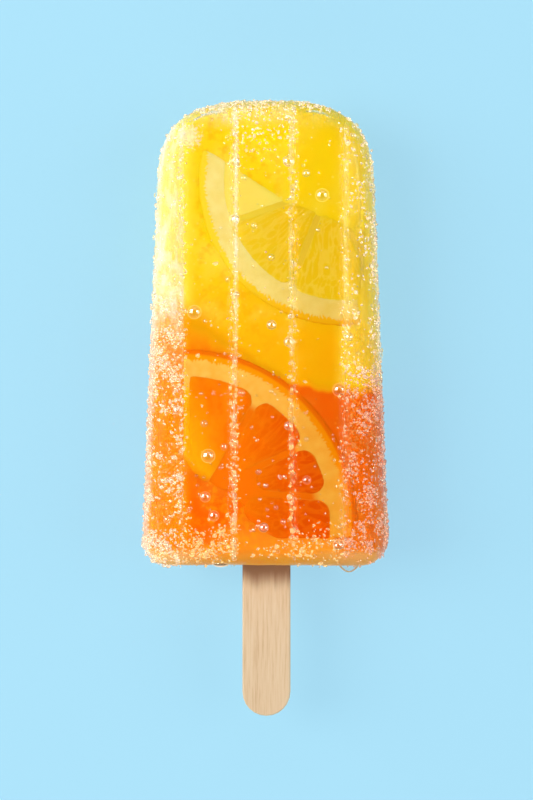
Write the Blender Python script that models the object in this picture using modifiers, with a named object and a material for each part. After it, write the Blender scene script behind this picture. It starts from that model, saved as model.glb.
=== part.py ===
"""A citrus ice pop on a flat wooden stick, lying on its back.

Two layers of juice ice were frozen one after the other in a tapered mould with two
long shallow flutes in its front and back. A half slice of lemon and a piece of an
orange slice lie against the front wall, and the stick runs up the middle.

Every piece is modelled in the mould's own frame: X across, Y from the base towards the
tip, Z out of the front face, with the origin in the middle of the base. One empty then
lays the whole pop on its back face.
"""

import math

import bmesh
import bpy
from mathutils import Matrix, Vector

# The moulded ice
BODY_LENGTH = 0.0959
BASE_HALF_WIDTH = 0.0253
SIDE_DRAFT = 0.0395  # half width lost for each metre towards the tip
BASE_HALF_DEPTH = 0.0125
FACE_DRAFT = 0.023  # half depth lost for each metre towards the tip
TIP_CURVE_LENGTH = 0.0175  # how far down from the tip its rounded end reaches
TIP_CURVE_POWER = 3.0  # exponent of the superellipse that rounds the tip
TIP_POINTS = 32
BASE_CORNER = 0.0052
BASE_CORNER_STEPS = 5
EDGE_ROUND = 0.0046
EDGE_ROUND_STEPS = 4

# The flutes, two in the front and two in the back
FLUTE_DEPTH = 0.0013
FLUTE_INNER = 0.0069  # from the middle line to the floor's inner edge
FLUTE_OUTER = 0.0157
FLUTE_BASE_END = 0.0049
FLUTE_TIP_END = 0.0931
FLUTE_TIP_CORNER = 0.0058
FLUTE_CORNER = 0.0011
FLUTE_CORNER_STEPS = 4
INNER_BANK = 0.0011  # how far the sloped walls run out over one flute depth
OUTER_BANK = 0.0017
END_BANK = 0.0008

# The line where the lemon layer was poured on the orange layer, which froze on a slant
LAYER_MIDDLE = 0.0440
LAYER_SWING = 0.0080  # up on the left and down on the right
LAYER_TURN = -0.0049  # where it crosses the middle height
LAYER_TURN_LENGTH = 0.0120
LAYER_STEPS = 16

# The fruit, flat against the front flutes
SLICE_THICKNESS = 0.0045
SLICE_SINK = 0.0001  # below the flute floor
SLICE_WALL_GAP = 0.0024  # ice between a slice's cut side and the side wall
ARC_STEPS = 36

LEMON_CENTRE = (0.0165, 0.0794)
LEMON_RADIUS = 0.0299
LEMON_END_ANGLE = math.radians(163.5)  # where the rind ends at the cut
LEMON_CUT = ((0.0125, 0.0729), (0.0060, 0.0755))  # where the cut bends, right to left
LEMON_CUT_END = 0.0733  # the cut's height at the right wall

ORANGE_CENTRE = (-0.0163, 0.0091)
ORANGE_RADIUS = 0.0352
ORANGE_CUT = (  # the torn edge around the orange's middle, from the left to the base
    (-0.0168, 0.0206),
    (-0.0137, 0.0204),
    (-0.0116, 0.0160),
    (-0.0073, 0.0156),
    (-0.0038, 0.0119),
    (0.0005, 0.0074),
    (0.0023, 0.0047),
)

# The stick
STICK_LENGTH = 0.093
STICK_WIDTH = 0.010
STICK_THICKNESS = 0.002
STICK_OUT = 0.0319
STICK_END_STEPS = 12
STICK_EDGE = 0.0003

GAP = 0.0003  # between pieces that touch
OVERSHOOT = 0.004  # how far a cutter runs past what it cuts

FACE_ANGLE = math.atan(FACE_DRAFT)
FACE_FRAME = Matrix.Translation((0, 0, BASE_HALF_DEPTH)) @ Matrix.Rotation(-FACE_ANGLE, 4, "X")


def clear_scene():
    for obj in list(bpy.data.objects):
        bpy.data.objects.remove(obj)


def new_collection(name, hidden=False):
    collection = bpy.data.collections.new(name)
    bpy.context.scene.collection.children.link(collection)
    collection.hide_render = hidden
    return collection


def make_material(name, colour, roughness, transmission=0.0):
    material = bpy.data.materials.new(name)
    material.use_nodes = True
    shader = material.node_tree.nodes["Principled BSDF"]
    shader.inputs["Base Color"].default_value = (*colour, 1.0)
    shader.inputs["Roughness"].default_value = roughness
    shader.inputs["Metallic"].default_value = 0.0
    shader.inputs["Transmission Weight"].default_value = transmission
    material.diffuse_color = (*colour, 1.0)
    return material


def half_width(y):
    return BASE_HALF_WIDTH - SIDE_DRAFT * y


def half_depth(y):
    return BASE_HALF_DEPTH - FACE_DRAFT * y


def pop_outline():
    """The front outline of the ice, anticlockwise from the left end of the base."""
    points = []
    for side, start in ((-1, math.pi), (1, 1.5 * math.pi)):
        middle_x = side * (half_width(BASE_CORNER) - BASE_CORNER)
        for step in range(BASE_CORNER_STEPS + 1):
            angle = start + 0.5 * math.pi * step / BASE_CORNER_STEPS
            x = middle_x + BASE_CORNER * math.cos(angle)
            points.append((x, BASE_CORNER * (1 + math.sin(angle))))
    tip_start = BODY_LENGTH - TIP_CURVE_LENGTH
    for step in range(TIP_POINTS + 1):
        angle = math.pi * step / TIP_POINTS
        across = math.copysign(abs(math.cos(angle)) ** (2 / TIP_CURVE_POWER), math.cos(angle))
        along = math.sin(angle) ** (2 / TIP_CURVE_POWER) if 0 < step < TIP_POINTS else 0.0
        y = tip_start + TIP_CURVE_LENGTH * along
        points.append((half_width(y) * across, y))
    return points


def flat_solid(name, outline, half_thickness, collection):
    """A plate of that outline, centred on Z = 0, as one welded mesh object."""
    curve = bpy.data.curves.new(name, "CURVE")
    curve.dimensions = "2D"
    curve.fill_mode = "BOTH"
    curve.extrude = half_thickness
    spline = curve.splines.new("POLY")
    spline.points.add(len(outline) - 1)
    for point, (x, y) in zip(spline.points, outline):
        point.co = (x, y, 0, 1)
    spline.use_cyclic_u = True
    drawn = bpy.data.objects.new(name + "_outline", curve)
    bpy.context.scene.collection.objects.link(drawn)
    bpy.context.view_layer.update()
    graph = bpy.context.evaluated_depsgraph_get()
    mesh = bpy.data.meshes.new_from_object(drawn.evaluated_get(graph))
    bpy.data.objects.remove(drawn)
    solid = bmesh.new()
    solid.from_mesh(mesh)
    bmesh.ops.remove_doubles(solid, verts=solid.verts, dist=1e-6)
    bmesh.ops.dissolve_limit(
        solid, angle_limit=math.radians(0.5), verts=solid.verts, edges=solid.edges
    )
    solid.to_mesh(mesh)
    solid.free()
    mesh.name = name
    made = bpy.data.objects.new(name, mesh)
    collection.objects.link(made)
    return made


def apply_modifiers(obj):
    """Fixes the evaluated shape into the object's own mesh."""
    bpy.context.view_layer.update()
    graph = bpy.context.evaluated_depsgraph_get()
    mesh = bpy.data.meshes.new_from_object(obj.evaluated_get(graph))
    obj.modifiers.clear()
    obj.data = mesh


def round_edges(obj, width, steps):
    bevel = obj.modifiers.new("rounded edges", "BEVEL")
    bevel.width = width
    bevel.segments = steps
    bevel.limit_method = "ANGLE"
    bevel.angle_limit = math.radians(60)
    apply_modifiers(obj)


def boolean(obj, cutter, operation):
    modifier = obj.modifiers.new(operation.lower(), "BOOLEAN")
    modifier.operation = operation
    modifier.solver = "EXACT"
    modifier.object = cutter


def mould_block(name, collection):
    """The whole pop without its flutes: a rounded plate, thinner towards the tip."""
    block = flat_solid(name, pop_outline(), BASE_HALF_DEPTH, collection)
    round_edges(block, EDGE_ROUND, EDGE_ROUND_STEPS)
    for vertex in block.data.vertices:
        vertex.co.z *= half_depth(vertex.co.y) / BASE_HALF_DEPTH
    return block


def flute_cutter(name, side, front, collection):
    """A long block with sloped walls whose floor lies one flute depth under the face."""
    height = FLUTE_DEPTH + OVERSHOOT
    run_out = height / FLUTE_DEPTH
    shape = bmesh.new()
    bmesh.ops.create_cube(shape, size=2.0)
    for vertex in shape.verts:
        grow = run_out if vertex.co.z > 0 else 0.0
        if vertex.co.x > 0:
            x = FLUTE_OUTER + OUTER_BANK * grow
        else:
            x = FLUTE_INNER - INNER_BANK * grow
        if vertex.co.y > 0:
            y = FLUTE_TIP_END + END_BANK * grow
        else:
            y = FLUTE_BASE_END - END_BANK * grow
        vertex.co = (x, y, height if vertex.co.z > 0 else 0.0)
    upright = [e for e in shape.edges if abs(e.verts[0].co.z - e.verts[1].co.z) > height / 2]
    tip_corner = max(upright, key=lambda e: sum(v.co.x + v.co.y for v in e.verts))
    plain_corners = [e for e in upright if e is not tip_corner]
    for edges, radius in (([tip_corner], FLUTE_TIP_CORNER), (plain_corners, FLUTE_CORNER)):
        bmesh.ops.bevel(
            shape,
            geom=[e for e in edges if e.is_valid],
            offset=radius,
            offset_type="OFFSET",
            segments=FLUTE_CORNER_STEPS,
            profile=0.5,
            affect="EDGES",
        )
    placed = FACE_FRAME @ Matrix.Translation((0, 0, -FLUTE_DEPTH))
    bmesh.ops.transform(shape, matrix=placed, verts=shape.verts)
    flip = Matrix.Diagonal((side, 1, 1 if front else -1, 1))
    bmesh.ops.transform(shape, matrix=flip, verts=shape.verts)
    bmesh.ops.recalc_face_normals(shape, faces=shape.faces)
    mesh = bpy.data.meshes.new(name)
    shape.to_mesh(mesh)
    shape.free()
    cutter = bpy.data.objects.new(name, mesh)
    collection.objects.link(cutter)
    return cutter


def layer_height(x):
    """Where the two juices meet: high on the left, low and level on the right."""
    return LAYER_MIDDLE - LAYER_SWING * math.tanh((x - LAYER_TURN) / LAYER_TURN_LENGTH)


def layer_cutter(name, upper, collection):
    """A block that holds one layer's share of the mould, half a gap short of the line."""
    reach = BASE_HALF_WIDTH + OVERSHOOT
    offset = GAP / 2 if upper else -GAP / 2
    far = BODY_LENGTH + OVERSHOOT if upper else -OVERSHOOT
    line = []
    for step in range(LAYER_STEPS + 1):
        x = -reach + 2 * reach * step / LAYER_STEPS
        line.append((x, layer_height(x) + offset))
    ends = [(reach, far), (-reach, far)]
    return flat_solid(name, line + ends, BASE_HALF_DEPTH + OVERSHOOT, collection)


def arc_points(centre, radius, start, end):
    steps = range(ARC_STEPS + 1)
    angles = [start + (end - start) * step / ARC_STEPS for step in steps]
    return [
        (centre[0] + radius * math.cos(angle), centre[1] + radius * math.sin(angle))
        for angle in angles
    ]


def wall_x(y, grow):
    """How far out a slice may reach at that height, on the right-hand side."""
    return half_width(y) - SLICE_WALL_GAP + grow


def grown(points, grow):
    """Moves each corner of a cut edge outwards, away from the fruit on its left."""
    moved = []
    for number, point in enumerate(points):
        before = Vector(points[max(number - 1, 0)])
        after = Vector(points[min(number + 1, len(points) - 1)])
        along = (after - before).normalized()
        moved.append((point[0] + grow * along.y, point[1] - grow * along.x))
    return moved


def lemon_outline(grow):
    """Below a bent cut near the lemon's middle, and trimmed along the right wall."""
    radius = LEMON_RADIUS + grow
    low = LEMON_CENTRE[1] - radius
    end = 2 * math.pi - math.acos((wall_x(low, grow) - LEMON_CENTRE[0]) / radius)
    rim = arc_points(LEMON_CENTRE, radius, LEMON_END_ANGLE - grow / radius, end)
    wall = (wall_x(LEMON_CUT_END, grow), LEMON_CUT_END)
    return rim + grown((wall, *LEMON_CUT), grow)


def orange_outline(grow):
    """Right of a torn edge around the orange's middle, and trimmed at the base."""
    radius = ORANGE_RADIUS + grow
    edge = grown(ORANGE_CUT, grow)
    start = math.asin((edge[-1][1] - ORANGE_CENTRE[1]) / radius)
    end = math.acos((ORANGE_CUT[0][0] - grow - ORANGE_CENTRE[0]) / radius)
    return arc_points(ORANGE_CENTRE, radius, start, end) + edge


def slice_solid(name, outline, front, back, collection):
    """A flat piece of fruit between two depths below the front face."""
    solid = flat_solid(name, outline, (back - front) / 2, collection)
    solid.data.transform(FACE_FRAME @ Matrix.Translation((0, 0, -(front + back) / 2)))
    return solid


def stick_outline(grow):
    radius = STICK_WIDTH / 2 + grow
    low = -STICK_OUT + STICK_WIDTH / 2
    high = STICK_LENGTH - STICK_OUT - STICK_WIDTH / 2
    points = []
    for middle, start in ((low, math.pi), (high, 0.0)):
        for step in range(STICK_END_STEPS + 1):
            angle = start + math.pi * step / STICK_END_STEPS
            points.append((radius * math.cos(angle), middle + radius * math.sin(angle)))
    return points


def main():
    clear_scene()
    pop = new_collection("ice pop")
    cutters = new_collection("cutters", hidden=True)

    # Cutters: the flutes, the fruit's pockets and the stick's slot.
    flutes = [
        flute_cutter(f"flute_{'front' if front else 'back'}_{number}", side, front, cutters)
        for front in (True, False)
        for number, side in enumerate((-1, 1))
    ]
    slice_front = FLUTE_DEPTH + SLICE_SINK
    slice_back = slice_front + SLICE_THICKNESS
    pockets = [
        slice_solid(name, outline(GAP), slice_front - GAP, slice_back + GAP, cutters)
        for name, outline in (("lemon_pocket", lemon_outline), ("orange_pocket", orange_outline))
    ]
    slot = flat_solid("stick_slot", stick_outline(GAP), STICK_THICKNESS / 2 + GAP, cutters)

    # The two layers of ice, each its share of the fluted mould.
    lemon_yellow = make_material("lemon ice", (0.95, 0.68, 0.02), 0.12, transmission=0.5)
    juice_orange = make_material("orange ice", (0.90, 0.25, 0.01), 0.12, transmission=0.5)
    layers = []
    for name, upper, material in (
        ("lemon_ice", True, lemon_yellow),
        ("orange_ice", False, juice_orange),
    ):
        layer = mould_block(name, pop)
        share = layer_cutter(name + "_share", upper, cutters)
        boolean(layer, share, "INTERSECT")
        for cutter in flutes + pockets + [slot]:
            boolean(layer, cutter, "DIFFERENCE")
        layer.data.materials.append(material)
        layers.append(layer)

    # The fruit.
    lemon = slice_solid("lemon_slice", lemon_outline(0.0), slice_front, slice_back, pop)
    lemon.data.materials.append(make_material("lemon fruit", (0.90, 0.70, 0.12), 0.35))
    orange = slice_solid("orange_slice", orange_outline(0.0), slice_front, slice_back, pop)
    orange.data.materials.append(make_material("orange fruit", (0.95, 0.32, 0.02), 0.35))

    # The wooden stick, its long edges a little rounded.
    stick = flat_solid("stick", stick_outline(0.0), STICK_THICKNESS / 2, pop)
    round_edges(stick, STICK_EDGE, 2)
    stick.data.materials.append(make_material("birch stick", (0.66, 0.46, 0.28), 0.6))

    # One empty lays the pop on its back, centred over the surface it lies on.
    lying = bpy.data.objects.new("lying_on_its_back", None)
    pop.objects.link(lying)
    lying.rotation_euler = (-FACE_ANGLE, 0, 0)
    middle = (BODY_LENGTH - STICK_OUT) / 2 * math.cos(FACE_ANGLE)
    lying.location = (0, -middle, BASE_HALF_DEPTH * math.cos(FACE_ANGLE))
    for obj in [lemon, orange, stick, *layers, *cutters.objects]:
        obj.parent = lying
        for polygon in obj.data.polygons:
            polygon.use_smooth = False
    for cutter in cutters.objects:
        cutter.hide_render = True
        cutter.display_type = "WIRE"


main()
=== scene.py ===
"""The looks of a two-layer citrus ice pop that lies on its back.

Clear ice wraps a cloudy coloured heart. Two slices of fruit lie between them, just under
the front face, and fine frost, grains of rime and melt water sit on the outside.

Every piece is shaped in the mould's own frame, in metres: X across, Y from the base to the
tip, Z out of the front. "lay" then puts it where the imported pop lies.
"""

import math

import bpy
import numpy as np
from mathutils import Matrix, Vector, noise


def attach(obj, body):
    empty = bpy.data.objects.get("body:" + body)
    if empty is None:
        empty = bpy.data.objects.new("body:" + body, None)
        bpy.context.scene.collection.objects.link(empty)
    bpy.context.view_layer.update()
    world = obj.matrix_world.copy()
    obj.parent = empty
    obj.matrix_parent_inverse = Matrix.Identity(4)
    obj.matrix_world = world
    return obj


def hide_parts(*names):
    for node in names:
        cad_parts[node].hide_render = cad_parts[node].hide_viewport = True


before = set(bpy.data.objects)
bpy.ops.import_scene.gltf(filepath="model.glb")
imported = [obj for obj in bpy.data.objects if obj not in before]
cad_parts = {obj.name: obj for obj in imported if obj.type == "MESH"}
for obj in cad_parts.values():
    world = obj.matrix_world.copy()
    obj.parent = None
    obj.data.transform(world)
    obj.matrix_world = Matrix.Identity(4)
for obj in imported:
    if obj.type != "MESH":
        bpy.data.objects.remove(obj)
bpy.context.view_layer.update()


# The clear ice. Melting has cleared the outer millimetres of the frozen juice and rounded
# every edge that the mould left: a tapered bar with two flutes in its front and its back.
BODY_LENGTH = 0.0959
BASE_HALF_WIDTH = 0.0253
SIDE_DRAFT = 0.0395
BASE_HALF_DEPTH = 0.0125
FACE_DRAFT = 0.023
STICK_OUT = 0.0319

FACE_TILT = math.atan(FACE_DRAFT)
FACE_FRAME = Matrix.Translation((0, 0, BASE_HALF_DEPTH)) @ Matrix.Rotation(-FACE_TILT, 4, "X")
middle = (BODY_LENGTH - STICK_OUT) / 2 * math.cos(FACE_TILT)
lay = (
    Matrix.Translation((0, -middle, BASE_HALF_DEPTH * math.cos(FACE_TILT)))
    @ Matrix.Rotation(-FACE_TILT, 4, "X")
)


def half_width(y):
    return BASE_HALF_WIDTH - SIDE_DRAFT * y


def half_depth(y):
    return BASE_HALF_DEPTH - FACE_DRAFT * y


def mould_outline(tip_points=44, corner_steps=8):
    """The bar's outline seen from the front, anticlockwise from the left end of its base."""
    base_corner, tip_reach, tip_power = 0.0052, 0.0175, 3.0
    points = []
    for side, start in ((-1, math.pi), (1, 1.5 * math.pi)):
        centre_x = side * (half_width(base_corner) - base_corner)
        for step in range(corner_steps + 1):
            angle = start + 0.5 * math.pi * step / corner_steps
            x = centre_x + base_corner * math.cos(angle)
            points.append((x, base_corner * (1 + math.sin(angle))))
    for step in range(tip_points + 1):
        angle = math.pi * step / tip_points
        cosine = math.cos(angle)
        across = math.copysign(abs(cosine) ** (2 / tip_power), cosine)
        along = max(math.sin(angle), 0.0) ** (2 / tip_power)
        y = BODY_LENGTH - tip_reach + tip_reach * along
        points.append((half_width(y) * across, y))
    return points


def nothing_selected():
    """So that the next operator acts on its own new piece only."""
    bpy.ops.object.select_all(action="DESELECT")


def selected_alone(piece):
    nothing_selected()
    piece.select_set(True)
    bpy.context.view_layer.objects.active = piece


def named_piece(name):
    piece = bpy.context.object
    piece.name = name
    piece.data.name = name
    return piece


def applied(piece, kind, **settings):
    """Adds one modifier with those settings and applies it."""
    selected_alone(piece)
    modifier = piece.modifiers.new(kind.lower(), kind)
    for setting, value in settings.items():
        setattr(modifier, setting, value)
    bpy.ops.object.modifier_apply(modifier=modifier.name)


def copied(piece, name):
    twin = piece.copy()
    twin.data = piece.data.copy()
    twin.name = twin.data.name = name
    bpy.context.scene.collection.objects.link(twin)
    return twin


def cut_by(piece, cutter, operation="DIFFERENCE"):
    """One exact boolean; the cutter is used up."""
    applied(piece, "BOOLEAN", operation=operation, solver="EXACT", object=cutter)
    bpy.data.objects.remove(cutter)


def start_editing():
    bpy.ops.object.mode_set(mode="EDIT")


def stop_editing():
    bpy.ops.object.mode_set(mode="OBJECT")


def pick_all():
    bpy.ops.mesh.select_all(action="SELECT")


def pick_none(kind):
    """Starts editing edges or faces, with none of them picked yet."""
    start_editing()
    bpy.ops.mesh.select_mode(type=kind)
    bpy.ops.mesh.select_all(action="DESELECT")


def flat_plate(name, outline, low, high):
    """A drawn outline, filled and pulled up into a plate between two heights."""
    nothing_selected()
    bpy.ops.mesh.primitive_circle_add(vertices=len(outline), radius=0.01, fill_type="NGON")
    plate = named_piece(name)
    for vertex, (x, y) in zip(plate.data.vertices, outline):
        vertex.co = (x, y, low)
    start_editing()
    pick_all()
    bpy.ops.mesh.extrude_region_move(TRANSFORM_OT_translate={"value": (0, 0, high - low)})
    pick_all()
    bpy.ops.mesh.normals_make_consistent(inside=False)
    stop_editing()
    return plate


def mould_block(name):
    """The plain bar, its edges well rounded, thinner towards the tip."""
    block = flat_plate(name, mould_outline(), -BASE_HALF_DEPTH, BASE_HALF_DEPTH)
    pick_none("EDGE")
    bpy.ops.mesh.edges_select_sharp(sharpness=math.radians(60))
    bpy.ops.mesh.bevel(offset=0.0046, offset_type="OFFSET", segments=8, profile=0.5)
    stop_editing()
    for vertex in block.data.vertices:
        vertex.co.z *= half_depth(vertex.co.y) / BASE_HALF_DEPTH
    return block


def flute_cutter(side, front):
    """A long bar with one large round corner, at the tip, and walls that slope outwards."""
    depth, proud = 0.0013, 0.004
    inner, outer, low, high = 0.0069, 0.0157, 0.0049, 0.0931
    nothing_selected()
    bpy.ops.mesh.primitive_cube_add(size=2)
    cutter = named_piece("flute_cutter")
    for vertex in cutter.data.vertices:
        vertex.co.x = outer if vertex.co.x > 0 else inner
        vertex.co.y = high if vertex.co.y > 0 else low
        vertex.co.z = depth + proud if vertex.co.z > 0 else 0
    for outer_tip_corner, radius in ((True, 0.0058), (False, 0.0012)):
        pick_none("EDGE")
        stop_editing()
        for edge in cutter.data.edges:
            start, end = (cutter.data.vertices[index].co for index in edge.vertices)
            upright = abs(start.z - end.z) > depth
            edge.select = upright and (start.x > 0.009 and start.y > 0.08) == outer_tip_corner
        start_editing()
        bpy.ops.mesh.bevel(offset=radius, offset_type="OFFSET", segments=8, profile=0.5)
        stop_editing()
    grow = 1 + proud / depth
    for vertex in cutter.data.vertices:
        if vertex.co.z > 0:
            share = (vertex.co.x - inner) / (outer - inner)
            vertex.co.x += grow * (0.0028 * share - 0.0011)
            vertex.co.y += grow * 0.0008 * (2 * (vertex.co.y - low) / (high - low) - 1)
    flip = Matrix.Diagonal((side, 1, 1 if front else -1, 1))
    cutter.data.transform(flip @ FACE_FRAME @ Matrix.Translation((0, 0, -depth)))
    if flip.determinant() < 0:
        cutter.data.flip_normals()
    return cutter


def melted(piece, grain, rounds, wave, depth):
    """Rounds off every edge, as melting does, and leaves the surface gently uneven."""
    applied(piece, "REMESH", mode="VOXEL", voxel_size=grain)
    applied(piece, "SMOOTH", factor=0.5, iterations=rounds)
    swell = bpy.data.textures.new("swell", "CLOUDS")
    swell.noise_scale = wave
    applied(
        piece, "DISPLACE", texture=swell, strength=depth, mid_level=0.5, texture_coords="LOCAL"
    )
    bpy.ops.object.shade_smooth()


clear_ice = mould_block("clear_ice")
plain_block = copied(clear_ice, "plain_block")
for front in (True, False):
    for side in (-1, 1):
        cut_by(clear_ice, flute_cutter(side, front))
melted(clear_ice, grain=0.00045, rounds=7, wave=0.007, depth=0.00028)
clear_ice.data.transform(lay)


def shade(red, green, blue):
    """A colour given in the usual 0 to 255 steps, as the shader's linear values."""
    return tuple(
        (c / 255 / 12.92 if c <= 10 else ((c / 255 + 0.055) / 1.055) ** 2.4)
        for c in (red, green, blue)
    ) + (1.0,)


def put(tree, kind, inputs=None, **settings):
    """Adds a node. An input takes a value, or an output socket to link from."""
    made = tree.nodes.new(kind)
    for setting, value in settings.items():
        setattr(made, setting, value)
    for socket, value in (inputs or {}).items():
        if isinstance(value, bpy.types.NodeSocket):
            tree.links.new(value, made.inputs[socket])
        else:
            made.inputs[socket].default_value = value
    return made


def tree_of(*values):
    """The node tree of the first value that is a socket. One of them always is."""
    return next(value.id_data for value in values if isinstance(value, bpy.types.NodeSocket))


def link(value, socket):
    tree_of(value).links.new(value, socket)


def finish(name, **values):
    """A new material and its Principled shader, with those plain values."""
    material = bpy.data.materials.new(name)
    material.use_nodes = True
    shader = material.node_tree.nodes["Principled BSDF"]
    for socket, value in values.items():
        shader.inputs[socket.replace("_", " ")].default_value = value
    return material, material.node_tree, shader


def dress(piece, material):
    """Gives a piece this one material."""
    piece.data.materials.clear()
    piece.data.materials.append(material)


def ramp(value, *stops):
    """A colour ramp over a value, from (position, colour) stops."""
    made = put(tree_of(value), "ShaderNodeValToRGB", {"Fac": value})
    elements = made.color_ramp.elements
    while len(elements) < len(stops):
        elements.new(0.5)
    for element, (position, colour) in zip(elements, stops):
        element.position = position
        element.color = colour
    return made.outputs["Color"]


def maths(operation, *values):
    made = put(tree_of(*values), "ShaderNodeMath", dict(enumerate(values)), operation=operation)
    return made.outputs[0]


def times(first, second):
    return maths("MULTIPLY", first, second)


def times_plus(first, second, third):
    """The first times the second, plus the third."""
    return maths("MULTIPLY_ADD", first, second, third)


def mix(share, first, second, **settings):
    """A blend of two colours, each a plain colour or an output socket."""
    tree, inputs = tree_of(share, first, second), {0: share, 6: first, 7: second}
    return put(tree, "ShaderNodeMix", inputs, data_type="RGBA", **settings).outputs[2]


def fade(value, start, end):
    """A smooth mask that goes from 0 at start to 1 at end."""
    inputs = {"Value": value, "From Min": start, "From Max": end}
    made = put(tree_of(value), "ShaderNodeMapRange", inputs, interpolation_type="SMOOTHSTEP")
    return made.outputs["Result"]


def cloud_at(place, scale, detail, roughness=0.5):
    """Soft random clouds, as a value from 0 to 1."""
    inputs = {"Vector": place, "Scale": scale, "Detail": detail, "Roughness": roughness}
    return put(tree_of(place), "ShaderNodeTexNoise", inputs).outputs["Fac"]


def stretched(place, *scale):
    made = put(tree_of(place), "ShaderNodeMapping", {"Vector": place, "Scale": scale})
    return made.outputs["Vector"]


def own_place(tree):
    return put(tree, "ShaderNodeTexCoord").outputs["Object"]


def x_and_y(place):
    axes = put(tree_of(place), "ShaderNodeSeparateXYZ", {"Vector": place})
    return axes.outputs["X"], axes.outputs["Y"]


def bumped(shader, height, distance, strength):
    """Makes a finish uneven by that height."""
    inputs = {"Height": height, "Distance": distance, "Strength": strength}
    link(put(tree_of(height), "ShaderNodeBump", inputs).outputs["Normal"], shader.inputs["Normal"])


def shared_group(name, entries, exits):
    """A node group with those ends, and the sockets that it is given and that it tells."""
    group = bpy.data.node_groups.new(name, "ShaderNodeTree")
    for socket, kind in entries:
        group.interface.new_socket(socket, in_out="INPUT", socket_type="NodeSocket" + kind)
    for socket in exits:
        group.interface.new_socket(socket, in_out="OUTPUT", socket_type="NodeSocketFloat")
    return group, put(group, "NodeGroupInput").outputs, put(group, "NodeGroupOutput").inputs


# Where frost has taken hold: on the raised borders, the ribs and the tip, in patches, and
# thicker low down. One group tells every finish that needs it.
frosting, given, told = shared_group("frosting", [("Place", "Vector")], ("Haze", "Crust", "Rib"))
place = given["Place"]
x, y = x_and_y(place)
across = maths("ABSOLUTE", x)
cloud = cloud_at(place, 230.0, 5.0)
border = fade(across, 0.0157, 0.0178)
from_rib = maths("ABSOLUTE", maths("SUBTRACT", across, 0.0059))
rib = times(fade(from_rib, 0.0010, 0.0002), 0.8)
tip = times(fade(y, 0.0575, 0.0615), 0.8)
right = fade(x, -0.012, 0.004)
base = fade(times_plus(right, -0.0035, y), -0.0325, -0.0300)
onset = times_plus(cloud, 0.010, times_plus(right, -0.014, 0.022))
low = fade(maths("SUBTRACT", y, onset), 0.006, -0.006)
# Less haze on the right: partly less frost, partly painted shade in the film's whiteness.
haze = times(border, times_plus(right, -0.38, 1.0))
from_edge = maths("ABSOLUTE", maths("SUBTRACT", across, 0.0170))
haze = maths("MAXIMUM", haze, fade(from_edge, 0.0008, 0.0003))
haze = maths("MAXIMUM", maths("MAXIMUM", haze, rib), tip)
streak = fade(cloud_at(stretched(place, 1.0, 0.12, 0.4), 520.0, 3.0), 0.25, 0.65)
streak = times_plus(fade(cloud, 0.45, 0.60), 0.5, streak)
haze = times(haze, times_plus(streak, 0.7, 0.3))
link(times(haze, base), told["Haze"])
link(times(rib, streak), told["Rib"])
crust = maths("MAXIMUM", times(border, low), times(rib, 0.9))
crust = times(crust, times_plus(fade(cloud, 0.44, 0.56), 0.8, 0.2))
link(times(crust, base), told["Crust"])


def frosted(place):
    """The haze and the crust of frost at a place, and the frost on the ribs alone."""
    made = put(tree_of(place), "ShaderNodeGroup", {"Place": place}, node_tree=frosting)
    return [made.outputs[name] for name in ("Haze", "Crust", "Rib")]


SUGAR_SCALE = 1900.0
wet_ice, tree, shader = finish(
    "wet clear ice", Base_Color=(1, 1, 1, 1), IOR=1.31, Transmission_Weight=1.0,
    Specular_Tint=(0.2, 0.2, 0.2, 1),
)
place = own_place(tree)
haze, crust, rib = frosted(place)
rough = times_plus(haze, 0.20, 0.12)
link(times_plus(crust, 0.04, rough), shader.inputs["Roughness"])
ripple = cloud_at(place, 380.0, 2.0)
sugar = cloud_at(place, SUGAR_SCALE, 2.0)
bumped(shader, times_plus(ripple, 1.3, times(sugar, times(crust, 1.5))), 0.00015, 0.6)
dress(clear_ice, wet_ice)
clear_ice.visible_shadow = False
clear_ice.visible_diffuse = False
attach(clear_ice, "root")
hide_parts("lemon_ice", "orange_ice")

# A film of the finest frost lies on that ice, milky on the upper borders and sugary below.
# It stays off the smooth middle of the front and the back.
frost_film = copied(clear_ice, "frost_film")
selected_alone(frost_film)
pick_none("FACE")
stop_editing()
for face in frost_film.data.polygons:
    reach = abs(face.center.x)
    on_rib = 0.0045 < reach < 0.0073 and abs(face.normal.z) > 0.8
    ends = face.center.y > 0.0565 or face.center.y < -0.0270
    corner = face.center.x < -0.0120 and face.center.y > 0.0520
    face.select = not (reach > 0.0154 or on_rib or ends or corner)
start_editing()
bpy.ops.mesh.delete(type="FACE")
stop_editing()
applied(frost_film, "DISPLACE", strength=0.00003, mid_level=0.0)

film, tree, shader = finish("frost film", Roughness=0.5, Specular_IOR_Level=0.05)
place = own_place(tree)
x, y = x_and_y(place)
reach = maths("ABSOLUTE", x)
haze, crust, rib = frosted(place)
sugar = cloud_at(place, SUGAR_SCALE, 2.0)
speck = fade(sugar, 0.46, 0.62)
high = fade(y, 0.004, 0.026)
side = fade(x, -0.010, 0.010)
streaks = fade(cloud_at(stretched(place, 1.0, 0.35, 1.0), 650.0, 3.0), 0.40, 0.62)
thin = times(haze, times_plus(high, 0.33, 0.03))
thin = times(thin, times_plus(streaks, 0.9, 0.5))
thick = times(crust, times(speck, 0.22))
foot = fade(y, -0.0270, -0.0295)
foot_share = times(foot, times_plus(fade(reach, 0.006, 0.020), 0.42, 0.04))
alpha = maths("ADD", maths("ADD", thin, thick), foot_share)
alpha = times_plus(rib, 0.12, alpha)

# Seen from the front, the film whitens round the outline, where the sides are frosted. On the
# right it is less white and darker: painted shade.
sideways = maths("ABSOLUTE", x_and_y(put(tree, "ShaderNodeNewGeometry").outputs["Normal"])[0])
rim = times(fade(sideways, 0.50, 0.85), fade(reach, 0.0172, 0.0186))
rim = times(rim, times_plus(fade(sideways, 0.997, 0.95), 0.75, 0.25))
rim_share = times(times_plus(side, -0.24, 0.46), times_plus(speck, 0.5, 0.6))
alpha = times_plus(rim, rim_share, alpha)

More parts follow.
